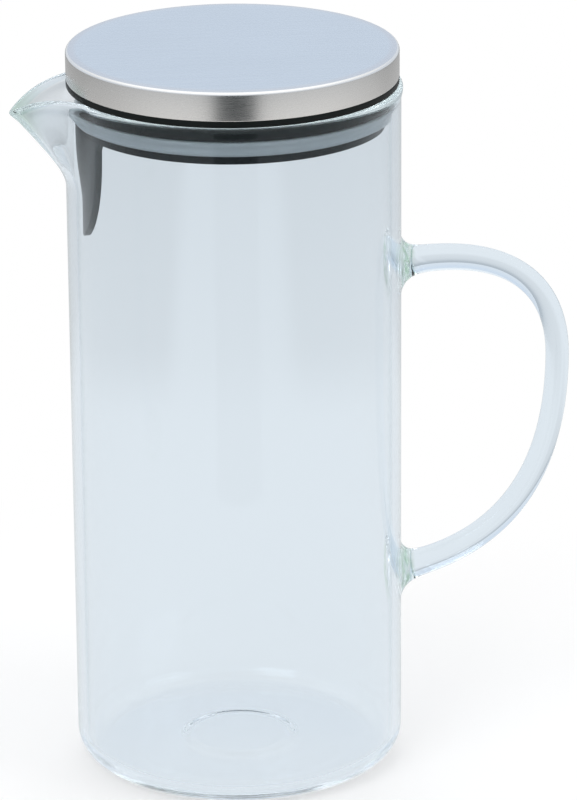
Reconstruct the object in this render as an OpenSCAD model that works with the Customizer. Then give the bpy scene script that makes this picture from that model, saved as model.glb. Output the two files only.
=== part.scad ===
// Cylindrical glass jug with a pulled spout, a welded glass handle and a steel lid with a plug.
// The jug stands on z = 0 with its axis on Z. The spout points along -X and the handle along +X.

/* [Jug] */
// Outer diameter of the glass tube wall
jug_d = 97; // [80:0.5:120]
// Height of the rim above the table
jug_h = 207; // [150:1:260]
// Thickness of the glass wall
wall_t = 2.8; // [1.8:0.1:4]
// Outer radius of the rounded heel
heel_r = 8; // [5:0.5:14]
// Thickness of the glass base
base_t = 3.6; // [2.5:0.1:6]
// Width of the flat ring that the jug stands on
foot_w = 5; // [3:0.5:8]
// Height that the middle of the base is pushed up
push_up = 2.2; // [0.5:0.1:4]
// How far the fire-polished rim bead stands out of the wall
rim_bead = 0.5; // [0.2:0.1:1]

/* [Spout] */
// How far the spout's tip is pulled out beyond the wall
spout_pull = 16.2; // [8:0.2:22]
// How far the spout's tip drops below the rim
spout_drop = 6.5; // [2:0.2:12]
// Height of the wall that the spout is pulled out of
spout_h = 30; // [22:1:50]
// Angle from the spout's middle to where its side leaves the round rim
spout_half_angle = 25; // [16:0.5:32]
// Angle over which the spout's tip is rounded
tip_angle = 1.1; // [0.5:0.1:3]

/* [Handle] */
// Diameter of the glass rod where it leaves the wall
rod_end_d = 8.2; // [6:0.1:12]
// Diameter of the glass rod at its outermost point
rod_mid_d = 6.9; // [5:0.1:11]
// Height of the upper weld
weld_top_z = 150; // [120:1:180]
// Height of the lower weld
weld_low_z = 54.5; // [30:0.5:80]
// How far the rod's middle line stands out from the jug's wall
handle_reach = 46.7; // [35:0.1:60]
// Height of the rod's outermost point
reach_z = 120; // [100:1:140]
// Angle at which the upper arm leaves the wall, upwards
arm_rise = 11; // [0:1:25]
// Angle at which the lower arm leaves the wall, upwards
arm_lift = 8.5; // [0:0.5:30]
// How much each weld widens the rod's radius at the wall
weld_flare = 4.6; // [2:0.1:7]
// Length over which most of the flare dies away
weld_len = 1.8; // [1:0.1:4]

/* [Lid] */
// How far the steel cap's side lies inside the jug's wall
cap_inset = 0.5; // [0:0.1:3]
// Height of the steel cap's skirt
cap_h = 8.7; // [6:0.1:14]
// Thickness of the steel sheet
cap_t = 0.8; // [0.5:0.1:1.2]
// Outer radius of the cap's top edge
cap_edge_r = 1; // [0.9:0.1:2]
// Thickness of the plug's flange on the rim
flange_t = 1.8; // [1.2:0.1:3]
// Radial gap between the plug's black bands and the glass
plug_gap = 1.85; // [0.8:0.05:3]
// Depth of the plug below the rim
plug_h = 11.5; // [9:0.1:16]
// Wall thickness of the plug moulding
plug_wall = 2; // [1.4:0.1:3]
// Height of the seal ring
seal_h = 4.4; // [3:0.1:6]
// Height of the black band under the seal ring
band_h = 2.4; // [1.6:0.1:3.5]
// Depth of the seal's groove in the plug
groove_depth = 2.6; // [1.5:0.1:4]

/* [Shield] */
// Length of the shield below the plug
shield_len = 32; // [20:1:42]
// Half angle that the shield covers at its top
shield_half_angle = 25; // [16:0.5:32]
// Half angle that the shield covers at its lower end
shield_tip_angle = 11; // [6:0.5:16]
// Thickness of the shield
shield_t = 1.8; // [1.2:0.1:2.5]
// Radius of the shield's lower corners
shield_corner_r = 3; // [1:0.5:5]
// Radius of the fillets where the shield meets the plug
shield_fillet_r = 3; // [1:0.5:5]

/* [Fits] */
// Radial gap between the seal ring and the glass
seal_gap = 0.1; // [0.05:0.01:0.3]
// Gap between the seal ring and its groove
groove_gap = 0.1; // [0.05:0.01:0.3]
// Gap between the flange and the rim
rest_gap = 0.1; // [0.05:0.01:0.3]

/* [Hidden] */
$fn = 96;
overrun = 1;

jug_r = jug_d / 2;
bore_r = jug_r - wall_t;
cap_r = jug_r - cap_inset;
plug_r = bore_r - plug_gap;
core_r = plug_r - groove_depth;
core_bore_r = core_r - plug_wall;

// Heights of the lid's faces
flange_z = jug_h + rest_gap;
cap_z = flange_z + flange_t;
plug_z = flange_z - plug_h;
groove_z = plug_z + band_h;
groove_h = seal_h + 2 * groove_gap;

// The jug is a revolved section, but for one sector that is pulled into the spout. Both are drawn
// from one outer and one inner path, so that they meet face to face. The paths run from the axis
// out along the base, round the heel, up the wall and over the rounded lip.
dome_half_w = jug_r - heel_r - foot_w;
dome_r = (dome_half_w * dome_half_w + push_up * push_up) / (2 * push_up);
inner_heel_r = heel_r - wall_t;
lip_r = (wall_t + rim_bead) / 2;
lip_mid_r = bore_r + lip_r;
lip_mid_z = jug_h - lip_r;
bead_foot_z = lip_mid_z - 2 * lip_r;
dome_steps = 5;
heel_steps = 7;
bead_steps = 3;
lip_steps = 4;

function mixed(a, b, k) = a + (b - a) * k;
function dome_points(z) = [for (i = [0 : dome_steps]) let (x = dome_half_w * i / dome_steps)
    [x, z + sqrt(dome_r * dome_r - x * x) - dome_r + push_up]];
function heel_points(r, z) = [for (i = [0 : heel_steps]) let (t = 90 * i / heel_steps)
    [jug_r - heel_r + r * sin(t), z + r - r * cos(t)]];
bead_points = [for (i = [0 : bead_steps - 1]) let (k = i / bead_steps)
    [jug_r + rim_bead * (1 - cos(180 * k)) / 2, mixed(bead_foot_z, lip_mid_z, k)]];
function lip_points(from) = [for (i = [0 : lip_steps - 1]) let (t = mixed(from, 90, i / lip_steps))
    [lip_mid_r + lip_r * cos(t), lip_mid_z + lip_r * sin(t)]];
lip_top = [lip_mid_r, jug_h];

// Wall points of the sector's outer and inner path, from the spout's foot up
spout_rows = 13;
spout_base_z = jug_h - spout_h;
outer_rows = [for (i = [0 : spout_rows - 1])
    [jug_r, mixed(spout_base_z, bead_foot_z, i / spout_rows)]];
inner_rows = [for (i = [0 : spout_rows + bead_steps - 1])
    [bore_r, mixed(spout_base_z, lip_mid_z, i / (spout_rows + bead_steps))]];

function outer_path(rows) =
    concat(dome_points(0), heel_points(heel_r, 0), rows, bead_points, lip_points(0));
function inner_path(rows) =
    concat(dome_points(base_t), heel_points(inner_heel_r, base_t), rows, lip_points(180));
function reversed(list) = [for (i = [len(list) - 1 : -1 : 0]) list[i]];

// Share of the full pull, from the angle off the spout's middle and the depth below the rim
spout_steps = 26;
sector_angle = spout_half_angle + 3.5;
crowding_share = 1.5;
side_power = 1.65;
drop_power = 2.35;
narrowing_share = 0.2;
foot_share = 0.2;
function rounded(a) = sqrt(a * a + tip_angle * tip_angle) - tip_angle;
function reach_angle(depth) = spout_half_angle * (1 - narrowing_share * min(1, depth));
function side_share(a, depth) = pow(max(0, 1 - rounded(a) / reach_angle(depth)), side_power);
function eased(k) = sqrt(k * k + foot_share * foot_share) - foot_share;
function rise_share(depth) = eased(max(0, 1 - depth)) / eased(1);
function pulled(p, a) =
    let (depth = (jug_h - p[1]) / spout_h, side = side_share(a, depth), rise = rise_share(depth),
         r = p[0] + spout_pull * side * rise)
    [-r * cos(a), r * sin(a), p[1] - spout_drop * pow(side, drop_power) * rise];

// Angles across the sector, crowded towards the spout's middle
function sector_at(i) =
    let (t = 2 * i / spout_steps - 1) sector_angle * sign(t) * pow(abs(t), crowding_share);

// The pulled sector: columns of points that share their two points on the axis
module spout_sector() {
    outer = outer_path(outer_rows);
    inner = inner_path(inner_rows);
    section = concat([for (i = [1 : len(outer) - 1]) outer[i]], [lip_top],
                     [for (i = [len(inner) - 1 : -1 : 1]) inner[i]]);
    n = len(section);
    end = spout_steps * n;
    under = end + n;
    floor_mid = under + 1;
    points = concat([for (i = [0 : spout_steps]) for (p = section) pulled(p, sector_at(i))],
                    [[0, 0, outer[0][1]], [0, 0, inner[0][1]]]);
    caps = [for (j = [0 : floor(n / 2) - 1])
        let (a = j, b = j + 1, c = n - 2 - j, d = n - 1 - j)
        each concat(b == c ? [] : [[a, b, c], [end + c, end + b, end + a]],
                    [[a, c, d], [end + d, end + c, end + a]])];
    hubs = [[under, 0, n - 1], [under, n - 1, floor_mid],
            [under, end + n - 1, end], [under, floor_mid, end + n - 1]];
    sides = [for (i = [0 : spout_steps - 1]) for (j = [0 : n - 2])
        let (a = i * n + j, b = a + 1)
        each [[a, a + n, b + n], [a, b + n, b]]];
    fans = [for (i = [0 : spout_steps - 1]) let (a = i * n, b = a + n - 1)
        each [[under, a + n, a], [floor_mid, b, b + n]]];
    polyhedron(points, concat(caps, hubs, sides, fans));
}

// The rest of the jug, revolved, with the same section where it meets the sector
module round_part() {
    difference() {
        rotate_extrude() polygon(concat(outer_path([]), [lip_top], reversed(inner_path([]))));
        translate([0, 0, -overrun])
            rotate([0, 0, 180 - sector_angle])
                rotate_extrude(angle = 2 * sector_angle) square([jug_d, jug_h + 2 * overrun]);
    }
}

module jug_body() {
    color([0.8, 0.87, 0.92, 0.4]) {
        round_part();
        spout_sector();
    }
}

// The handle is a rod swept along two curves that meet at its outermost point
rod_sides = 16;
arm_steps = 26;
weld_root = 2.5;
upper_lead_share = 0.63;
upper_bend_share = 0.88;
lower_bend_share = 0.53;
lower_lead_share = 0.77;
reach_r = jug_r + handle_reach;
root_r = jug_r - weld_root;

function along(a, b, c, d, t) =
    a * pow(1 - t, 3) + 3 * b * t * pow(1 - t, 2) + 3 * c * t * t * (1 - t) + d * pow(t, 3);
function slope(a, b, c, d, t) =
    3 * ((b - a) * pow(1 - t, 2) + 2 * (c - b) * t * (1 - t) + (d - c) * t * t);

upper_arm = [
    [root_r, weld_top_z],
    [root_r, weld_top_z] + handle_reach * upper_lead_share * [cos(arm_rise), sin(arm_rise)],
    [reach_r, reach_z + (weld_top_z - reach_z) * upper_bend_share],
    [reach_r, reach_z]
];
lower_arm = [
    [reach_r, reach_z],
    [reach_r, reach_z - (reach_z - weld_low_z) * lower_bend_share],
    [root_r, weld_low_z] + handle_reach * lower_lead_share * [cos(arm_lift), sin(arm_lift)],
    [root_r, weld_low_z]
];

function rod_radius(x) =
    let (out = max(0, x - jug_r))
    rod_mid_d / 2 + (rod_end_d - rod_mid_d) / 2 * max(0, 1 - out / handle_reach)
        + weld_flare * exp(-out / weld_len);
function rod_ring(arm, t) =
    let (p = along(arm[0], arm[1], arm[2], arm[3], t),
         s = slope(arm[0], arm[1], arm[2], arm[3], t),
         across = [-s[1], s[0]] / norm(s),
         r = rod_radius(p[0]))
    [for (k = [0 : rod_sides - 1]) let (w = 360 * k / rod_sides)
        [p[0] + r * cos(w) * across[0], r * sin(w), p[1] + r * cos(w) * across[1]]];

module rod() {
    rings = concat([for (i = [0 : arm_steps]) rod_ring(upper_arm, pow(i / arm_steps, crowding_share))],
                   [for (i = [1 : arm_steps])
                       rod_ring(lower_arm, 1 - pow(1 - i / arm_steps, crowding_share))]);
    n = rod_sides;
    m = len(rings);
    first = [for (k = [n - 1 : -1 : 0]) k];
    last = [for (k = [0 : n - 1]) (m - 1) * n + k];
    sides = [for (i = [0 : m - 2]) for (k = [0 : n - 1])
        let (a = i * n + k, b = i * n + (k + 1) % n)
        each [[a, b, b + n], [a, b + n, a + n]]];
    polyhedron([for (ring = rings) each ring], concat([first, last], sides));
}

module jug_handle() {
    color([0.78, 0.88, 0.86, 0.5])
        difference() {
            rod();
            cylinder(r = jug_r, h = jug_h);
        }
}

// Drawn steel shell: flat top, rounded edge, open underneath
module lid_cap() {
    color("lightsteelblue")
        translate([0, 0, cap_z])
            rotate_extrude() difference() {
                union() {
                    square([cap_r, cap_h - cap_edge_r]);
                    square([cap_r - cap_edge_r, cap_h]);
                    translate([cap_r - cap_edge_r, cap_h - cap_edge_r]) circle(cap_edge_r);
                }
                translate([0, -overrun])
                    square([cap_r - cap_t, cap_h - cap_t + overrun]);
            }
}

// Plug moulding: a spigot that fills the cap's skirt, the flange, the upper band and the seal's core
module lid_plug() {
    spigot_r = cap_r - cap_t;
    band_z = groove_z + groove_h;
    color([0.13, 0.14, 0.15])
        rotate_extrude() {
            translate([spigot_r - plug_wall, cap_z]) square([plug_wall, cap_h - cap_t]);
            translate([core_bore_r, flange_z]) square([cap_r - core_bore_r, flange_t]);
            translate([core_bore_r, band_z]) square([plug_r - core_bore_r, flange_z - band_z]);
            translate([core_bore_r, groove_z]) square([plug_wall, groove_h]);
        }
}

// Silicone ring: a flat back in the groove and two round ribs that wipe the glass
module seal_ring() {
    back_r = core_r + groove_gap;
    face_r = bore_r - seal_gap;
    rib_r = seal_h / 4;
    color([0.75, 0.82, 0.84, 0.8])
        translate([0, 0, groove_z + groove_gap])
            rotate_extrude() {
                translate([back_r, 0]) square([face_r - rib_r - back_r, seal_h]);
                translate([face_r - rib_r, rib_r]) circle(rib_r);
                translate([face_r - rib_r, seal_h - rib_r]) circle(rib_r);
            }
}

// Outline of the shield as seen from the spout, hanging from y = 0
shield_rows = 16;
outline_power = 3.2;
end_share = pow(1 - pow(shield_tip_angle / shield_half_angle, 2), 1 / outline_power);
function shield_half_w(depth) =
    plug_r * sin(shield_half_angle * sqrt(1 - pow(depth * end_share, outline_power)));

module shield_outline() {
    right = [for (i = [0 : shield_rows]) let (d = i / shield_rows)
        [shield_half_w(d), -shield_len * d]];
    left = [for (i = [shield_rows : -1 : 0]) [-right[i][0], right[i][1]]];
    difference() {
        offset(-shield_fillet_r) offset(shield_fillet_r)
            union() {
                offset(shield_corner_r) offset(-shield_corner_r)
                    polygon(concat([[-right[0][0], band_h], [right[0][0], band_h]], right, left));
                translate([-plug_r, 0]) square([2 * plug_r, band_h]);
            }
        translate([-jug_d, 0]) square([2 * jug_d, 2 * band_h]);
    }
}

// Base disc of the plug, with the lower band as its edge, and the tongue that closes the spout
module spout_shield() {
    collar_h = groove_h;
    color([0.16, 0.17, 0.18]) {
        translate([0, 0, plug_z]) cylinder(r = plug_r, h = band_h);
        translate([0, 0, groove_z]) difference() {
            cylinder(r = core_bore_r, h = collar_h);
            translate([0, 0, -overrun]) cylinder(r = core_bore_r - plug_wall, h = collar_h + 2 * overrun);
        }
        intersection() {
            translate([0, 0, plug_z]) rotate([90, 0, -90]) linear_extrude(jug_r) shield_outline();
            translate([0, 0, plug_z - shield_len]) difference() {
                cylinder(r = plug_r, h = shield_len + overrun);
                translate([0, 0, -overrun])
                    cylinder(r = plug_r - shield_t, h = shield_len + 3 * overrun);
            }
        }
    }
}

jug_body();
jug_handle();
lid_cap();
lid_plug();
seal_ring();
spout_shield();
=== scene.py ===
import math

import bmesh
import bpy
from mathutils import Matrix, Vector


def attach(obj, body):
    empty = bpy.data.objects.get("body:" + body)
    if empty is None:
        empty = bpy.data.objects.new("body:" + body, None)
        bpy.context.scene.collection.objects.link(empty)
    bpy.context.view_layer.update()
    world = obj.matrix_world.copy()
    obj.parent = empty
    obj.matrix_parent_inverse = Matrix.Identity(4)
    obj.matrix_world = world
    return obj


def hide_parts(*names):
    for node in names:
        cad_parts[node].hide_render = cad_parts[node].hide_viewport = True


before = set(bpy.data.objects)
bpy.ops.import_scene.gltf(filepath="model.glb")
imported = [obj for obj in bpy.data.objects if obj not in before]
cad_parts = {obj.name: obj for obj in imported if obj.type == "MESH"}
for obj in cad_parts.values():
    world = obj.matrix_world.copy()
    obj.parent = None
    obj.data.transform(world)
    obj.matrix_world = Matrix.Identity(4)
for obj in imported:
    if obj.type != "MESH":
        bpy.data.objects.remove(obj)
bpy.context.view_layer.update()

mm = 0.001  # the lengths in the dictionaries are in millimetres, the angles in degrees


def clamp01(x):
    return max(0.0, min(1.0, x))


def smooth01(x):
    x = clamp01(x)
    return x * x * (3 - 2 * x)


def lerp(a, b, k):
    return a + (b - a) * k


def arcPoints(cx, cz, r, a0, a1, steps, ends=(True, True)):
    first = 0 if ends[0] else 1
    last = steps + 1 if ends[1] else steps
    out = []
    for i in range(first, last):
        a = math.radians(lerp(a0, a1, i / steps))
        out.append((cx + r * math.cos(a), cz + r * math.sin(a)))
    return out


def rows(x, z0, z1, pitch):
    n = max(1, round(abs(z1 - z0) / pitch))
    return [(x, lerp(z0, z1, i / n)) for i in range(n)]


def spinMesh(points, steps, closed=False):
    bm = bmesh.new()
    verts = [bm.verts.new((x * mm, 0, z * mm)) for x, z in points]
    edges = [bm.edges.new(pair) for pair in zip(verts, verts[1:])]
    if closed:
        edges.append(bm.edges.new((verts[-1], verts[0])))
    bmesh.ops.spin(bm, geom=verts + edges, cent=(0, 0, 0), axis=(0, 0, 1), dvec=(0, 0, 0),
                   angle=math.tau, steps=steps, use_merge=True, use_duplicate=False)
    bmesh.ops.remove_doubles(bm, verts=bm.verts, dist=1e-7)
    return bm


def addObject(bm, name):
    mesh = bpy.data.meshes.new(name)
    bm.to_mesh(mesh)
    bm.free()
    obj = bpy.data.objects.new(name, mesh)
    bpy.context.scene.collection.objects.link(obj)
    return obj


def finishPiece(bm, name, body, material, replaced=(), smoothAngle=40):
    bmesh.ops.recalc_face_normals(bm, faces=bm.faces)
    obj = addObject(bm, name)
    mesh = obj.data
    mesh.shade_smooth()
    if smoothAngle:
        mesh.set_sharp_from_angle(angle=math.radians(smoothAngle))
    mesh.materials.append(material)
    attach(obj, body)
    if replaced:
        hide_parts(*replaced)
    print("made", name, len(mesh.vertices), "vertices", len(mesh.polygons), "faces")
    return obj


def bareMaterial(name):
    mat = bpy.data.materials.new(name)
    mat.use_nodes = True
    mat.node_tree.nodes.clear()
    return mat, mat.node_tree


def newMaterial(name):
    mat, tree = bareMaterial(name)
    out = tree.nodes.new("ShaderNodeOutputMaterial")
    shader = tree.nodes.new("ShaderNodeBsdfPrincipled")
    tree.links.new(shader.outputs[0], out.inputs["Surface"])
    return mat, tree, shader


def node(tree, kind, inputs=None, **attrs):
    n = tree.nodes.new("ShaderNode" + kind)
    for key, value in attrs.items():
        setattr(n, key, value)
    for key, value in (inputs or {}).items():
        if isinstance(value, bpy.types.NodeSocket):
            tree.links.new(value, n.inputs[key])
        else:
            n.inputs[key].default_value = value
    return n


def calc(tree, operation, a, b=0.0, c=0.0):
    return node(tree, "Math", {0: a, 1: b, 2: c}, operation=operation).outputs[0]


def ramp(tree, value, low, high, toLow=0.0, toHigh=1.0):
    return node(tree, "MapRange", {"Value": value, "From Min": low, "From Max": high,
                                   "To Min": toLow, "To Max": toHigh},
                interpolation_type="SMOOTHSTEP").outputs[0]


def mixColour(tree, factor, a, b):
    n = tree.nodes.new("ShaderNodeMix")
    n.data_type = "RGBA"
    for socket, value in ((n.inputs[0], factor), (n.inputs[6], a), (n.inputs[7], b)):
        if isinstance(value, bpy.types.NodeSocket):
            tree.links.new(value, socket)
        else:
            socket.default_value = value
    return n.outputs[2]


def objectPoint(tree, scale=(1, 1, 1)):
    coords = node(tree, "TexCoord")
    return node(tree, "Mapping", {"Vector": coords.outputs["Object"], "Scale": scale}).outputs[0]


def noise(tree, stretch, scale=1.0, detail=3.0, rough=0.5):
    return node(tree, "TexNoise", {"Vector": objectPoint(tree, stretch), "Scale": scale,
                                   "Detail": detail, "Roughness": rough}).outputs[0]


def axes(tree):
    coords = node(tree, "TexCoord")
    parts = node(tree, "SeparateXYZ", {0: coords.outputs["Object"]})
    return parts.outputs[0], parts.outputs[1], parts.outputs[2]


def distance(tree, a, b):
    squares = calc(tree, "ADD", calc(tree, "MULTIPLY", a, a), calc(tree, "MULTIPLY", b, b))
    return calc(tree, "SQRT", squares)


def blend(tree, share, a, b):
    return node(tree, "Mix", {0: share, 2: a, 3: b}).outputs[0]


def scaleColour(tree, colour, share):
    return node(tree, "VectorMath", {0: colour, "Scale": share}, operation="SCALE").outputs[0]


def scaleAdd(tree, value, times, plus):
    return calc(tree, "ADD", calc(tree, "MULTIPLY", value, times), plus)


def rampMm(tree, value, span, toLow=0.0, toHigh=1.0):
    return ramp(tree, value, span[0] * mm, span[1] * mm, toLow, toHigh)


def bumpFrom(tree, shader, height, strength, depth):
    bump = node(tree, "Bump", {"Strength": strength, "Distance": depth * mm, "Height": height})
    tree.links.new(bump.outputs[0], shader.inputs["Normal"])


def rgba(r, g, b):
    return (r, g, b, 1.0)


# the jug and its handle are one melted surface
glass = {
    # tube, base and rim
    "jugR": 48.5, "boreR": 45.7, "jugH": 207.0, "heelR": 8.0, "baseT": 3.6, "footW": 5.0,
    "pushUp": 2.2, "rimBead": 0.5, "steps": 256, "insideSlack": 0.1,
    "kick": 1.0, "kickR": 16.0, "kickW": 4.0, "kickRows": 8, "kickClear": 2.4,  # a low step in the underside
    # rows of faces round and up the profile
    "beadRows": 6, "lipRows": 16, "outerHeelRows": 14, "innerHeelRows": 12, "baseRows": 16,
    "wallBands": ((42, 8), (67, 1.6), (137, 10), (163, 1.6)),  # each band's top and its rows' pitch
    "neckPitch": 3, "spoutPitch": 1.25,
    # the spout, pulled out of a sector of the wall
    "spoutPull": 16.2, "spoutDrop": 6.5, "spoutH": 30.0, "spoutHalf": 25.0, "sectorMargin": 3.0,
    "tipAngle": 1.1, "sidePower": 1.65, "dropPower": 2.35, "narrowing": 0.2, "foot": 0.2,
    "crowding": 1.45, "crowdFrom": 120, "crowdOver": 50, "lipThin": -0.5, "stillR": 1,
    # the rod: two arms that meet at reachZ, each with shares of its way for its curve
    "weldTopZ": 150.0, "armRise": 11.0, "upperLead": 0.63, "upperBend": 0.88,
    "weldLowZ": 54.5, "armLift": 8.5, "lowerLead": 0.77, "lowerBend": 0.53,
    "reach": 46.7, "reachZ": 120.0, "rodEndR": 4.1, "rodMidR": 3.45, "squareOver": 7,
    "flare": 4.6, "flareLen": 1.8, "fillet": 0.5, "filletLen": 0.25,
    "rootDepth": 2.5, "rootGap": 0.06, "rootStep": 0.0004, "holeR": 9.3, "holeBand": 0.3,
    "rodSides": 40, "armRings": 44, "ringCrowding": 1.75,
}


def glassProfile():
    g = glass
    heelX = g["jugR"] - g["heelR"]
    footIn = heelX - g["footW"]
    innerHeelR = g["heelR"] - (g["jugR"] - g["boreR"])
    innerHeelZ = g["baseT"] + innerHeelR
    lipR = (g["jugR"] - g["boreR"] + g["rimBead"]) / 2
    lipX, lipZ = g["boreR"] + lipR, g["jugH"] - lipR
    beadZ = lipZ - 2 * lipR
    spoutZ = g["jugH"] - g["spoutH"]

    def dome(z, kick):
        bulge = g["pushUp"] - kick
        domeR = (footIn ** 2 + bulge ** 2) / (2 * bulge)
        half = g["kickRows"] // 2
        flank = [g["kickR"] + g["kickW"] * k / g["kickRows"] for k in range(-half, half + 1)]
        plain = [footIn * i / g["baseRows"] for i in range(g["baseRows"] + 1)]
        clear = [x for x in plain if abs(x - g["kickR"]) > g["kickClear"]]
        pts = []
        for x in sorted(clear + flank):
            up = math.sqrt(domeR ** 2 - x * x) - domeR + bulge
            up += kick * (1 - smooth01((x - g["kickR"]) / g["kickW"] + 0.5))
            pts.append((x, z + up))
        return pts

    def wallRows(x, low, high):
        pts = []
        for top, pitch in g["wallBands"] + ((spoutZ, g["neckPitch"]), (high, g["spoutPitch"])):
            pts += rows(x, low, top, pitch)
            low = top
        return pts

    outer = dome(0, g["kick"])
    outer += arcPoints(heelX, g["heelR"], g["heelR"], -90, 0, g["outerHeelRows"], (True, False))
    outer += wallRows(g["jugR"], g["heelR"], beadZ)
    for i in range(g["beadRows"]):
        k = i / g["beadRows"]
        outer.append((g["jugR"] + g["rimBead"] * (1 - math.cos(math.pi * k)) / 2, lerp(beadZ, lipZ, k)))
    lip = arcPoints(lipX, lipZ, lipR, 0, 180, g["lipRows"])
    inner = arcPoints(heelX, innerHeelZ, innerHeelR, -90, 0, g["innerHeelRows"], (True, False))
    inner += wallRows(g["boreR"], innerHeelZ, lipZ)
    return outer + lip + inner[::-1] + dome(g["baseT"], 0)[::-1]


def eased(k, foot):
    return (math.sqrt(k * k + foot * foot) - foot) / (math.sqrt(1 + foot * foot) - foot)


def pullSpout(bm):
    g = glass
    sector = g["spoutHalf"] + g["sectorMargin"]
    for v in bm.verts:
        r = math.hypot(v.co.x, v.co.y) / mm
        z = v.co.z / mm
        depth = (g["jugH"] - z) / g["spoutH"]
        a = math.degrees(math.atan2(v.co.y, -v.co.x))
        if abs(a) >= sector or r < g["stillR"]:
            continue
        t = a / sector
        crowded = sector * math.copysign(abs(t) ** g["crowding"], t)  # more columns near the lip's point
        a = lerp(a, crowded, smooth01((z - g["crowdFrom"]) / g["crowdOver"]))
        rounded = math.sqrt(a * a + g["tipAngle"] ** 2) - g["tipAngle"]
        reach = g["spoutHalf"] * (1 - g["narrowing"] * min(1, depth))
        side = max(0, 1 - rounded / reach) ** g["sidePower"]
        rise = eased(max(0, 1 - depth), g["foot"])
        inner = clamp01((g["jugR"] - r) / (g["jugR"] - g["boreR"]))
        r += (g["spoutPull"] + g["lipThin"] * inner * rise) * side * rise
        z -= g["spoutDrop"] * side ** g["dropPower"] * rise
        v.co = Vector((-r * math.cos(math.radians(a)), r * math.sin(math.radians(a)), z)) * mm


def bezier(p, t):
    s = 1 - t
    w = (s ** 3, 3 * t * s * s, 3 * t * t * s, t ** 3)
    point = [sum(w[i] * p[i][k] for i in range(4)) for k in (0, 1)]
    d = (3 * s * s, 6 * s * t, 3 * t * t)
    slope = [sum(d[i] * (p[i + 1][k] - p[i][k]) for i in range(3)) for k in (0, 1)]
    return point, slope


def rodRings():
    g = glass
    rootR, reachR = g["jugR"] - g["rootDepth"], g["jugR"] + g["reach"]
    arms = []
    for weldZ, angle, lead, bend in ((g["weldTopZ"], g["armRise"], g["upperLead"], g["upperBend"]),
                                     (g["weldLowZ"], g["armLift"], g["lowerLead"], g["lowerBend"])):
        out, slope = g["reach"] * lead, math.radians(angle)
        arms.append([(rootR, weldZ), (rootR + out * math.cos(slope), weldZ + out * math.sin(slope)),
                     (reachR, lerp(g["reachZ"], weldZ, bend)), (reachR, g["reachZ"])])
    rings = []
    for arm, flip in zip(arms, (False, True)):
        side = []
        start = 0
        while bezier(arm, start)[0][0] < g["jugR"] + g["rootGap"]:
            start += g["rootStep"]
        n = g["armRings"]
        for i in range(n + 1):
            t = lerp(start, 1, (i / n) ** g["ringCrowding"])
            (px, pz), (sx, sz) = bezier(arm, t)
            out = px - g["jugR"]
            length = math.hypot(sx, sz)
            normal = Vector((-sz / length, sx / length))
            if flip:
                normal = -normal
            upright = Vector((0, -1 if flip else 1))
            w = smooth01(out / g["squareOver"])  # 0 along the wall, 1 square to the rod
            across = (upright * (1 - w) + normal * w).normalized()
            r = g["rodMidR"] + (g["rodEndR"] - g["rodMidR"]) * clamp01(1 - out / g["reach"])
            r += g["flare"] * math.exp(-out / g["flareLen"]) + g["fillet"] * math.exp(-out / g["filletLen"])
            ring = []
            for k in range(g["rodSides"]):
                a = math.tau * k / g["rodSides"]
                y = r * math.sin(a)
                c = r * math.cos(a)
                x = px + c * across[0] - (1 - w) * y * y / (2 * g["jugR"])
                ring.append((x, y, pz + c * across[1]))
            side.append(ring)
        rings.append(side)
    return rings[0] + rings[1][::-1][1:]


def weldHandle(bm):
    g = glass
    holes = []
    for zc in (g["weldTopZ"], g["weldLowZ"]):
        doomed = []
        for f in bm.faces:
            c = f.calc_center_median() / mm
            if c.x < 0 or abs(math.hypot(c.x, c.y) - g["jugR"]) > g["holeBand"]:
                continue
            s = math.atan2(c.y, c.x) * g["jugR"]
            if math.hypot(s, c.z - zc) < g["holeR"]:
                doomed.append(f)
        bmesh.ops.delete(bm, geom=doomed, context="FACES")
        rim = [e for e in bm.edges if e.is_boundary
               and abs(e.verts[0].co.z / mm - zc) < 2 * g["holeR"] and e.verts[0].co.x > 0]
        for v in {v for e in rim for v in e.verts}:
            s = math.atan2(v.co.y, v.co.x) * g["jugR"]
            dz = v.co.z / mm - zc
            k = g["holeR"] / math.hypot(s, dz)
            a = s * k / g["jugR"]
            v.co = Vector((g["jugR"] * math.cos(a), g["jugR"] * math.sin(a), zc + dz * k)) * mm
        holes.append(rim)
    rings = [[bm.verts.new(Vector(p) * mm) for p in ring] for ring in rodRings()]
    n = g["rodSides"]
    for a, b in zip(rings, rings[1:]):
        for k in range(n):
            bm.faces.new((a[k], a[(k + 1) % n], b[(k + 1) % n], b[k]))
    bm.edges.ensure_lookup_table()
    for ring, hole in ((rings[0], holes[0]), (rings[-1], holes[1])):
        loop = [bm.edges.get((ring[k], ring[(k + 1) % n])) for k in range(n)]
        bmesh.ops.bridge_loops(bm, edges=loop + hole)


def markInside(bm):
    g = glass
    layer = bm.verts.layers.float.new("inside")
    for v in bm.verts:
        r, z = math.hypot(v.co.x, v.co.y) / mm, v.co.z / mm
        within = r < g["boreR"] + g["insideSlack"] and z > g["baseT"] - g["insideSlack"]
        v[layer] = 1.0 if within else 0.0


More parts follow.
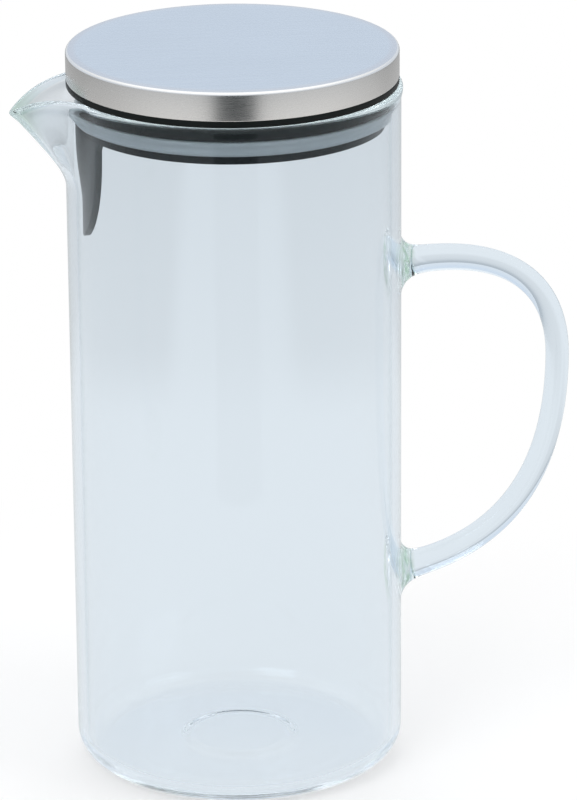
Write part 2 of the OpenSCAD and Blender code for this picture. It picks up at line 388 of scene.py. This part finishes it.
jugFinish = {
    "tint": rgba(0.734, 0.808, 0.868), "innerTint": rgba(0.985, 0.985, 0.985),
    "edgeTint": rgba(0.44, 0.54, 0.58), "edgeSpan": (0.76, 0.97), "edgeShare": 0.9,
    "ior": 1.47, "roughness": 0.0, "gloss": rgba(0.42, 0.46, 0.48),
    # green where the glass is thick: round the welds, at the spout's tip and in the rim
    "weldTint": rgba(0.24, 0.42, 0.27), "weldStart": (47.8, 49.0), "weldEnd": (53.0, 50.0),
    "weldRound": (12.5, 8.0), "wispStretch": (260, 900, 420), "wispSpan": (0.36, 0.64),
    "wispShare": (0.3, 1.0), "tipSpan": (53.0, 63.0), "tipShare": 0.45,
    "lipSpan": (202.5, 206.0), "lipShare": 0.28, "lipBack": (-46, -34),
    # streaks of drawn glass
    "streakStretch": (60, 60, 7), "streakDetail": 2.0, "streakRough": 0.45,
    "streakBump": 0.1, "streakDepth": 0.6,
}


def makeGlassMaterial():
    f = jugFinish
    mat, tree, shader = newMaterial("jugGlass")
    x, y, z = axes(tree)
    wisps = ramp(tree, noise(tree, f["wispStretch"]), *f["wispSpan"], *f["wispShare"])
    atWeld = calc(tree, "MULTIPLY", rampMm(tree, x, f["weldStart"]), rampMm(tree, x, f["weldEnd"]))
    atWeld = calc(tree, "MULTIPLY", atWeld, wisps)
    nearWeld = [rampMm(tree, distance(tree, y, calc(tree, "SUBTRACT", z, height * mm)), f["weldRound"])
                for height in (glass["weldTopZ"], glass["weldLowZ"])]
    atWeld = calc(tree, "MULTIPLY", atWeld, calc(tree, "MAXIMUM", *nearWeld))
    atTip = calc(tree, "MULTIPLY", rampMm(tree, distance(tree, x, y), f["tipSpan"]), f["tipShare"])
    atTip = calc(tree, "MULTIPLY", atTip, calc(tree, "LESS_THAN", x, 0.0))
    atLip = rampMm(tree, z, f["lipSpan"], 0.0, f["lipShare"])
    atLip = calc(tree, "MULTIPLY", atLip, rampMm(tree, x, f["lipBack"]))
    mask = calc(tree, "MAXIMUM", atWeld, calc(tree, "MAXIMUM", atLip, atTip))
    inside = node(tree, "Attribute", attribute_name="inside").outputs["Fac"]
    grazing = node(tree, "LayerWeight", {"Blend": 0.5}).outputs["Facing"]
    colour = mixColour(tree, mask, f["tint"], f["weldTint"])
    colour = mixColour(tree, inside, colour, f["innerTint"])
    edge = ramp(tree, grazing, *f["edgeSpan"], 0.0, f["edgeShare"])
    colour = mixColour(tree, edge, colour, f["edgeTint"])
    tree.links.new(colour, shader.inputs["Base Color"])
    shader.inputs["Transmission Weight"].default_value = 1.0
    shader.inputs["IOR"].default_value = f["ior"]
    shader.inputs["Roughness"].default_value = f["roughness"]
    shader.inputs["Specular Tint"].default_value = f["gloss"]
    streaks = noise(tree, f["streakStretch"], 1.0, f["streakDetail"], f["streakRough"])
    bumpFrom(tree, shader, streaks, f["streakBump"], f["streakDepth"])
    return mat


def makeGlass():
    bm = spinMesh(glassProfile(), glass["steps"])
    markInside(bm)
    pullSpout(bm)
    weldHandle(bm)
    return finishPiece(bm, "glassJug", "jug", makeGlassMaterial(),
                       ("jug_body", "jug_handle"), smoothAngle=None)


# radii and heights that the lid's pieces share
lid = {
    "capR": 48.0, "capH": 8.7, "capT": 0.8, "capZ": 208.9, "flangeZ": 207.1,
    "plugR": 43.85, "plugZ": 195.6, "grooveZ": 198.0, "grooveH": 4.6, "coreR": 41.25,
    "coreBoreR": 39.25, "plugWall": 2.0, "steps": 192,
}

steelFinish = {
    # the top's bluish tint, greyer over its outer ring, is a painted reflection of the sky
    "topSkyReflectionTint": rgba(0.565, 0.635, 0.71), "rimSkyReflectionTint": rgba(0.56, 0.60, 0.66),
    # the pale tint on the rounded top edge is a painted highlight line
    "skirtTint": rgba(0.60, 0.59, 0.575), "edgeTint": rgba(0.74, 0.745, 0.745),
    "topSpan": (216.8, 217.5), "rimSpan": (44.5, 46.2), "highlightUp": (216.55, 216.8), "highlightOut": (47.2, 47.4),
    # the top is brushed along X, the skirt along its round
    "topBrush": (14, 2600, 2600), "turnScale": 1.2, "skirtBrush": (3, 4200, 1),
    "cloudStretch": (40, 40, 40), "grainShade": 0.10, "cloudShade": 0.05, "leastShade": 0.925,
    "roughness": 0.20, "grainRough": 0.14, "bump": 0.12, "bumpDepth": 0.02,
}


def makeSteel():
    f = steelFinish
    mat, tree, shader = newMaterial("brushedSteel")
    x, y, z = axes(tree)
    top = rampMm(tree, z, f["topSpan"])
    out = distance(tree, x, y)
    # painted reflection: the top is tinted bluish like the sky it faces, greyer over its outer ring
    paintedSkyReflection = mixColour(tree, rampMm(tree, out, f["rimSpan"]), f["topSkyReflectionTint"], f["rimSkyReflectionTint"])
    colour = mixColour(tree, top, f["skirtTint"], paintedSkyReflection)
    # painted highlight: the rounded top edge is made paler
    edge = calc(tree, "MULTIPLY", rampMm(tree, z, f["highlightUp"]), rampMm(tree, out, f["highlightOut"]))
    colour = mixColour(tree, edge, colour, f["edgeTint"])
    along = noise(tree, f["topBrush"])
    angle = calc(tree, "MULTIPLY", calc(tree, "ARCTAN2", y, x), f["turnScale"])
    ringPoint = node(tree, "CombineXYZ", {0: angle, 1: z, 2: 0.0}).outputs[0]
    ringPoint = node(tree, "Mapping", {"Vector": ringPoint, "Scale": f["skirtBrush"]}).outputs[0]
    lines = node(tree, "TexNoise", {"Vector": ringPoint, "Scale": 1.0, "Detail": 3.0}).outputs[0]
    grain = blend(tree, top, lines, along)
    cloud = noise(tree, f["cloudStretch"], detail=2.0)
    shade = calc(tree, "ADD", calc(tree, "MULTIPLY", grain, f["grainShade"]),
                 scaleAdd(tree, cloud, f["cloudShade"], f["leastShade"]))
    tree.links.new(scaleColour(tree, colour, shade), shader.inputs["Base Color"])
    shader.inputs["Metallic"].default_value = 1.0
    rough = scaleAdd(tree, grain, f["grainRough"], f["roughness"])
    tree.links.new(rough, shader.inputs["Roughness"])
    bumpFrom(tree, shader, grain, f["bump"], f["bumpDepth"])
    return mat


plastics = {
    "satinBlack": {"tint": (0.005, 0.0068, 0.0064), "roughness": 0.34, "gloss": 0.10},
    "satinCharcoal": {"tint": (0.018, 0.026, 0.026), "roughness": 0.34, "gloss": 0.17},
    "grainScale": 900.0, "cloudScale": 45.0, "dark": 0.82, "light": 1.2,
    "grainRough": 0.12, "bump": 0.2, "bumpDepth": 0.03,
}


def makePlastic(name):
    f, own = plastics, plastics[name]
    mat, tree, shader = newMaterial(name)
    grain = noise(tree, (1, 1, 1), f["grainScale"])
    cloud = noise(tree, (1, 1, 1), f["cloudScale"], detail=2.0)
    dark, light = (rgba(*[c * share for c in own["tint"]]) for share in (f["dark"], f["light"]))
    tree.links.new(mixColour(tree, cloud, dark, light), shader.inputs["Base Color"])
    tree.links.new(scaleAdd(tree, grain, f["grainRough"], own["roughness"]), shader.inputs["Roughness"])
    shader.inputs["Specular IOR Level"].default_value = own["gloss"]
    bumpFrom(tree, shader, grain, f["bump"], f["bumpDepth"])
    return mat


siliconeFinish = {
    "tint": rgba(0.64, 0.71, 0.74), "paleTint": rgba(0.72, 0.78, 0.80), "cloudScale": 60.0,
    "clearness": 0.35, "ior": 1.41, "roughness": 0.34, "cloudRough": 0.1,
}


def makeSilicone():
    f = siliconeFinish
    mat, tree, shader = newMaterial("sealSilicone")
    cloud = noise(tree, (1, 1, 1), f["cloudScale"])
    tree.links.new(mixColour(tree, cloud, f["tint"], f["paleTint"]), shader.inputs["Base Color"])
    shader.inputs["Transmission Weight"].default_value = f["clearness"]
    shader.inputs["IOR"].default_value = f["ior"]
    tree.links.new(scaleAdd(tree, cloud, f["cloudRough"], f["roughness"]), shader.inputs["Roughness"])
    return mat


def softCorner(points, r, steps=4):
    out = []
    n = len(points)
    for i in range(n):
        p, q, s = Vector(points[i - 1]), Vector(points[i]), Vector(points[(i + 1) % n])
        a, b = (p - q), (s - q)
        k = min(r, a.length / 2.1, b.length / 2.1)  # the rounds at both ends of a short side stay apart
        start, end = q + a.normalized() * k, q + b.normalized() * k
        for j in range(steps + 1):
            t = j / steps
            out.append(tuple((1 - t) ** 2 * start + 2 * t * (1 - t) * q + t * t * end))
    return out


cap = {
    "edgeR": 1.0, "edgeFrom": 84, "edgeRows": 10, "crownR": 42.6, "crownDrop": 0.24, "crownRows": 12,
    "hemRows": 8, "insideR": 0.3, "insideRows": 4,
}


def makeCap(steel):
    c, s = lid, cap
    top = c["capZ"] + c["capH"]
    edgeX = c["capR"] - s["edgeR"]
    crown = [(0, top)]
    for i in range(s["crownRows"] + 1):
        k = i / s["crownRows"]
        crown.append((lerp(s["crownR"], edgeX, k), top - s["crownDrop"] * k * k))
    edge = arcPoints(edgeX, top - s["crownDrop"] - s["edgeR"], s["edgeR"], s["edgeFrom"], 0, s["edgeRows"])
    hem = c["capT"] / 2  # the skirt's end is rolled
    hemArc = arcPoints(c["capR"] - hem, c["capZ"] + hem, hem, 0, -180, s["hemRows"])
    insideX, insideZ = c["capR"] - c["capT"] - s["insideR"], top - c["capT"] - s["insideR"]
    insideArc = arcPoints(insideX, insideZ, s["insideR"], 0, 90, s["insideRows"])
    bm = spinMesh(crown + edge + hemArc + insideArc + [(0, top - c["capT"])], c["steps"])
    return finishPiece(bm, "steelCap", "lid", steel, ("lid_cap",), smoothAngle=35)


plug = {"softR": 0.3, "fitGap": 0.02, "ledgeGap": 0.05}


def makePlug(black):
    c, s = lid, plug
    spigot = c["capR"] - c["capT"] - s["fitGap"]
    top = c["capZ"] + c["capH"] - c["capT"] - s["fitGap"]
    ledge = c["capZ"] + s["ledgeGap"]
    bandZ = c["grooveZ"] + c["grooveH"]
    bore = c["coreBoreR"]
    pts = [(spigot, c["capZ"]), (spigot, top), (spigot - c["plugWall"], top),
           (spigot - c["plugWall"], ledge), (bore, ledge), (bore, c["grooveZ"]),
           (c["coreR"], c["grooveZ"]), (c["coreR"], bandZ), (c["plugR"], bandZ),
           (c["plugR"], c["flangeZ"]), (c["capR"], c["flangeZ"]), (c["capR"], c["capZ"])]
    bm = spinMesh(softCorner(pts, s["softR"]), c["steps"], closed=True)
    return finishPiece(bm, "plugMoulding", "lid", black, ("lid_plug",), smoothAngle=35)


seal = {"gap": 0.1, "lobeAngle": 40, "lobeRows": 8}


def makeSeal(silicone):
    c, s = lid, seal
    back, face = c["coreR"] + s["gap"], glass["boreR"] - s["gap"]
    low, high = c["grooveZ"] + s["gap"], c["grooveZ"] + c["grooveH"] - s["gap"]
    r = (high - low) / 4  # two lobes, one above the other
    x = face - r
    pts = [(back, low)] + arcPoints(x, low + r, r, -90, s["lobeAngle"], s["lobeRows"])
    pts += arcPoints(x, high - r, r, -s["lobeAngle"], 90, s["lobeRows"]) + [(back, high)]
    bm = spinMesh(pts, c["steps"], closed=True)
    return finishPiece(bm, "siliconeSeal", "seal", silicone, ("seal_ring",), smoothAngle=50)


# the plug's base disc and the tongue that hangs from it behind the spout
shield = {
    "len": 32.0, "half": 25.0, "tipHalf": 6.5, "t": 1.8, "power": 2.8,  # half is in degrees, tipHalf too
    "cornerR": 2.2, "filletR": 3.0, "sunk": 0.6, "fitGap": 0.02, "softR": 0.3, "axisR": 0.5,
    "rowsDown": 40, "rowCrowding": 0.8, "columns": 28, "bevel": 0.35, "bevelRows": 3, "bevelAngle": 50,
}


def shieldHalf(d):
    s = shield
    endShare = (1 - (s["tipHalf"] / s["half"]) ** 2) ** (1 / s["power"])
    return math.asin(clamp01(math.sin(math.radians(
        s["half"] * math.sqrt(1 - (d * endShare) ** s["power"])))))


def roundOff(r, past):
    k = clamp01(1 - past / r)
    return r * (1 - math.sqrt(1 - k * k))


def makeDisc(black):
    c, s = lid, shield
    floorZ = c["grooveZ"]
    bore = c["coreBoreR"] - s["fitGap"]
    pts = [(0, floorZ), (bore - c["plugWall"], floorZ), (bore - c["plugWall"], floorZ + c["grooveH"]),
           (bore, floorZ + c["grooveH"]), (bore, floorZ), (c["plugR"], floorZ), (c["plugR"], c["plugZ"])]
    rounded = [p for p in softCorner(pts + [(0, c["plugZ"])], s["softR"]) if p[0] > s["axisR"]]
    bm = spinMesh([(0, floorZ)] + rounded + [(0, c["plugZ"])], c["steps"])  # both ends lie on the axis
    return finishPiece(bm, "shieldDisc", "lid", black, ("spout_shield",), smoothAngle=35)


def makeTongue(charcoal):
    c, s = lid, shield
    r = c["plugR"]
    bm = bmesh.new()
    n, m = s["rowsDown"], s["columns"]
    grid = []
    for i in range(n + 1):
        d = (i / n) ** s["rowCrowding"]
        z = c["plugZ"] + s["sunk"] - (s["len"] + s["sunk"]) * d
        below = c["plugZ"] - z
        half = shieldHalf(d) * r
        if below < s["filletR"]:
            half += roundOff(s["filletR"], max(0, below))
        if s["len"] - below < s["cornerR"]:
            half -= roundOff(s["cornerR"], s["len"] - below)
        turns = [(2 * j / m - 1) * half / r for j in range(m + 1)]
        grid.append([bm.verts.new(Vector((-r * math.cos(a), r * math.sin(a), z)) * mm) for a in turns])
    for i in range(n):
        for j in range(m):
            bm.faces.new((grid[i][j], grid[i][j + 1], grid[i + 1][j + 1], grid[i + 1][j]))
    bmesh.ops.recalc_face_normals(bm, faces=bm.faces)
    if sum(f.normal.dot(f.calc_center_median()) for f in bm.faces) < 0:
        bmesh.ops.reverse_faces(bm, faces=bm.faces)  # the wall grows inwards from an outer face
    bmesh.ops.solidify(bm, geom=bm.faces[:] + bm.edges[:] + bm.verts[:], thickness=s["t"] * mm)
    sharp = math.radians(s["bevelAngle"])
    edge = [e for e in bm.edges if len(e.link_faces) == 2 and e.calc_face_angle(0) > sharp]
    bmesh.ops.bevel(bm, geom=edge, offset=s["bevel"] * mm, segments=s["bevelRows"], affect="EDGES",
                    profile=0.5, material=-1)
    return finishPiece(bm, "shieldTongue", "lid", charcoal, (), smoothAngle=40)


# the studio's lengths are in metres; fx and photoH are in pixels
studio = {
    "fx": 5000.0, "photoH": 800, "sensor": 36, "dist": 1.4700, "lookZ": 0.1096,
    "pitch": 0.3429, "yaw": 0.0111, "roll": -0.0075, "turn": 5.0,  # radians, but the turn is in degrees
    "bounces": 1000,  # with fewer, paths inside the spout's glass end too soon and leave a dark smudge
}

paper = {
    "radius": 8.0, "sides": 96, "z": -0.0004, "paperTint": rgba(0.92, 0.92, 0.92), "white": rgba(1, 1, 1),
    "farSpan": (0.15, 1.6), "farTint": rgba(0.62, 0.65, 0.68), "slant": 0.25, "leastOut": 0.01,
    "panelSpan": (-0.6, 0.75), "panelShade": (0.76, 1.08), "dimSpan": (0.28, 0.38), "dimAll": 0.035,
    "dimFlanks": 0.075, "leftFlank": (-0.024, -0.036), "rightFlank": (0.020, 0.034), "rightShare": 0.8,
    "nearSpan": (0.06, 0.22), "nearShare": 0.55, "bentShare": 0.93,
}


def dotXY(tree, x, y, wayX, wayY):
    return calc(tree, "ADD", calc(tree, "MULTIPLY", x, wayX), calc(tree, "MULTIPLY", y, wayY))


def frontAngle():
    return math.radians(-90 - studio["turn"])


def makeFloor():
    f = paper
    bm = bmesh.new()
    bmesh.ops.create_circle(bm, cap_ends=True, radius=f["radius"], segments=f["sides"])
    obj = addObject(bm, "floor")
    obj.location.z = f["z"]
    mat, tree = bareMaterial("floorPaper")
    x, y, z = axes(tree)
    out = distance(tree, x, y)
    frontX, frontY = math.cos(frontAngle()), math.sin(frontAngle())
    path = node(tree, "LightPath").outputs

    # what the steel mirrors: brighter towards the camera, darker away from it
    facing = dotXY(tree, x, y, frontX - f["slant"] * frontY, frontY + f["slant"] * frontX)
    facing = calc(tree, "DIVIDE", facing, calc(tree, "MAXIMUM", out, f["leastOut"]))
    panels = ramp(tree, facing, *f["panelSpan"], *f["panelShade"])
    mirrored = calc(tree, "SUBTRACT", path["Is Glossy Ray"], path["Is Transmission Ray"])
    shade = blend(tree, calc(tree, "MAXIMUM", mirrored, 0.0), 1.0, panels)

    # what the glass bends: dimmer far behind the jug, most at its flanks
    away, across = dotXY(tree, x, y, -frontX, -frontY), dotXY(tree, x, y, -frontY, frontX)
    flanks = calc(tree, "MAXIMUM", ramp(tree, across, *f["leftFlank"]),
                  ramp(tree, across, *f["rightFlank"], 0.0, f["rightShare"]))
    dim = calc(tree, "MULTIPLY", ramp(tree, away, *f["dimSpan"]),
               scaleAdd(tree, flanks, f["dimFlanks"], f["dimAll"]))
    seen = mixColour(tree, ramp(tree, out, *f["farSpan"]), f["white"], f["farTint"])
    seen = scaleColour(tree, seen, calc(tree, "SUBTRACT", shade, dim))
    throughGlass = node(tree, "Emission", {"Color": seen, "Strength": 1.0}).outputs[0]
    bent = calc(tree, "MAXIMUM", path["Is Glossy Ray"], path["Is Transmission Ray"])

    # what the camera sees: white paper, with a soft shadow round the foot
    lit = node(tree, "BsdfDiffuse", {"Color": f["paperTint"]}).outputs[0]
    direct = node(tree, "Emission", {"Color": f["white"], "Strength": 1.0}).outputs[0]
    near = ramp(tree, out, *f["nearSpan"], f["nearShare"], 1.0)
    near = calc(tree, "MULTIPLY", path["Is Camera Ray"], near)
    plain = node(tree, "MixShader", {0: near, 1: lit, 2: direct}).outputs[0]
    bent = calc(tree, "MULTIPLY", bent, f["bentShare"])
    both = node(tree, "MixShader", {0: bent, 1: plain, 2: throughGlass})
    end = tree.nodes.new("ShaderNodeOutputMaterial")
    tree.links.new(both.outputs[0], end.inputs["Surface"])
    obj.data.materials.append(mat)
    return obj


# the spans are heights in the sky, as the z of a direction
sky = {
    "lowSpan": (0.0, 0.30), "domeSpan": (0.36, 0.55), "topSpan": (0.60, 0.85),
    "horizon": rgba(0.90, 0.93, 0.97), "low": rgba(0.82, 0.88, 0.97), "dome": rgba(1.08, 1.09, 1.10),
    "top": rgba(1.45, 1.46, 1.47), "white": rgba(1, 1, 1), "fill": rgba(0.95, 0.97, 1.0), "fillPower": 0.75,
}


def makeWorld():
    f = sky
    world = bpy.data.worlds.new("studioWorld")
    bpy.context.scene.world = world
    world.use_nodes = True
    tree = world.node_tree
    tree.nodes.clear()
    coords = node(tree, "TexCoord")
    height = node(tree, "SeparateXYZ", {0: coords.outputs["Generated"]}).outputs[2]
    path = node(tree, "LightPath").outputs
    lowSky = mixColour(tree, ramp(tree, height, *f["lowSpan"]), f["horizon"], f["low"])
    dome = mixColour(tree, ramp(tree, height, *f["topSpan"]), f["dome"], f["top"])
    shown = mixColour(tree, ramp(tree, height, *f["domeSpan"]), lowSky, dome)
    back = mixColour(tree, path["Is Camera Ray"], shown, f["white"])
    fill = node(tree, "Background", {"Color": f["fill"], "Strength": f["fillPower"]}).outputs[0]
    seen = node(tree, "Background", {"Color": back, "Strength": 1.0}).outputs[0]
    direct = calc(tree, "MAXIMUM", path["Is Glossy Ray"], path["Is Transmission Ray"])
    direct = calc(tree, "MAXIMUM", path["Is Camera Ray"], direct)
    both = node(tree, "MixShader", {0: direct, 1: fill, 2: seen})
    end = tree.nodes.new("ShaderNodeOutputWorld")
    tree.links.new(both.outputs[0], end.inputs["Surface"])


lampAim = (0, 0, 0.1)
lamps = (
    {"name": "keyLamp", "place": (-1.2, -1.5, 1.9), "size": (1.2, 1.2), "power": 22, "throughGlass": True},
    {"name": "fillLamp", "place": (1.6, -0.9, 1.3), "size": (1.2, 1.4), "power": 12, "throughGlass": True},
    {"name": "backLamp", "place": (0.3, 1.9, 1.6), "size": (1.6, 0.9), "power": 14, "throughGlass": False},
)


def makeLamp(s):
    data = bpy.data.lights.new(s["name"], "AREA")
    data.shape = "RECTANGLE"
    data.size, data.size_y = s["size"]
    data.energy = s["power"]
    obj = bpy.data.objects.new(s["name"], data)
    bpy.context.scene.collection.objects.link(obj)
    obj.location = s["place"]
    aim = Vector(lampAim) - Vector(s["place"])
    obj.rotation_euler = aim.to_track_quat("-Z", "Y").to_euler()
    obj.visible_glossy = False
    obj.visible_transmission = s["throughGlass"]
    return obj


# a dark card, seen only where something mirrors it; its profile is distance out and height
flag = {
    "profile": ((0.30, 0.002), (1.60, 0.002), (1.62, 0.05), (1.62, 0.35)),
    "turn": 1.5, "half": 14.0, "tint": rgba(0.05, 0.06, 0.065),
}


def makeFlag():
    bm = bmesh.new()
    turn = frontAngle() + math.radians(flag["turn"])
    ends = []
    for side in (-1, 1):
        a = turn + math.radians(flag["half"]) * side
        ends.append([bm.verts.new((d * math.cos(a), d * math.sin(a), z)) for d, z in flag["profile"]])
    for row in ends:
        for pair in zip(row, row[1:]):
            bm.edges.new(pair)
    bmesh.ops.bridge_loops(bm, edges=bm.edges[:])
    obj = addObject(bm, "flag")
    mat, tree = bareMaterial("flagCloth")
    cloth = node(tree, "Emission", {"Color": flag["tint"], "Strength": 1.0})
    end = tree.nodes.new("ShaderNodeOutputMaterial")
    tree.links.new(cloth.outputs[0], end.inputs["Surface"])
    obj.data.materials.append(mat)
    obj.visible_camera = False
    obj.visible_diffuse = False
    obj.visible_transmission = False
    obj.visible_shadow = False
    return obj


def makeCamera():
    s = studio
    level, drop = math.cos(s["pitch"]), math.sin(s["pitch"])
    place = Vector((0, -s["dist"] * level, s["lookZ"] + s["dist"] * drop))
    forward = Vector((math.sin(s["yaw"]) * level, math.cos(s["yaw"]) * level, -drop))
    right = forward.cross(Vector((0, 0, 1))).normalized()
    up = right.cross(forward)
    rolledRight = right * math.cos(s["roll"]) + up * math.sin(s["roll"])
    rolledUp = -right * math.sin(s["roll"]) + up * math.cos(s["roll"])
    turn = Matrix.Rotation(math.radians(-s["turn"]), 4, "Z")
    basis = Matrix((rolledRight, rolledUp, -forward)).transposed().to_4x4()
    data = bpy.data.cameras.new("camera")
    data.sensor_width = s["sensor"]
    data.lens = s["fx"] * s["sensor"] / s["photoH"]
    obj = bpy.data.objects.new("camera", data)
    bpy.context.scene.collection.objects.link(obj)
    obj.matrix_world = turn @ Matrix.Translation(place) @ basis
    bpy.context.scene.camera = obj
    return obj


makeCamera()
makeFloor()
makeWorld()
for lamp in lamps:
    makeLamp(lamp)
makeFlag()
bpy.context.scene.view_settings.view_transform = "Standard"
cycles = bpy.context.scene.cycles
cycles.max_bounces = cycles.glossy_bounces = cycles.transmission_bounces = studio["bounces"]
print("stage studio done")

makeGlass()
print("stage glass done")

steel = makeSteel()
black, charcoal = makePlastic("satinBlack"), makePlastic("satinCharcoal")
makeCap(steel)
makePlug(black)
makeSeal(makeSilicone())
makeDisc(black)
makeTongue(charcoal)
print("stage lid done")
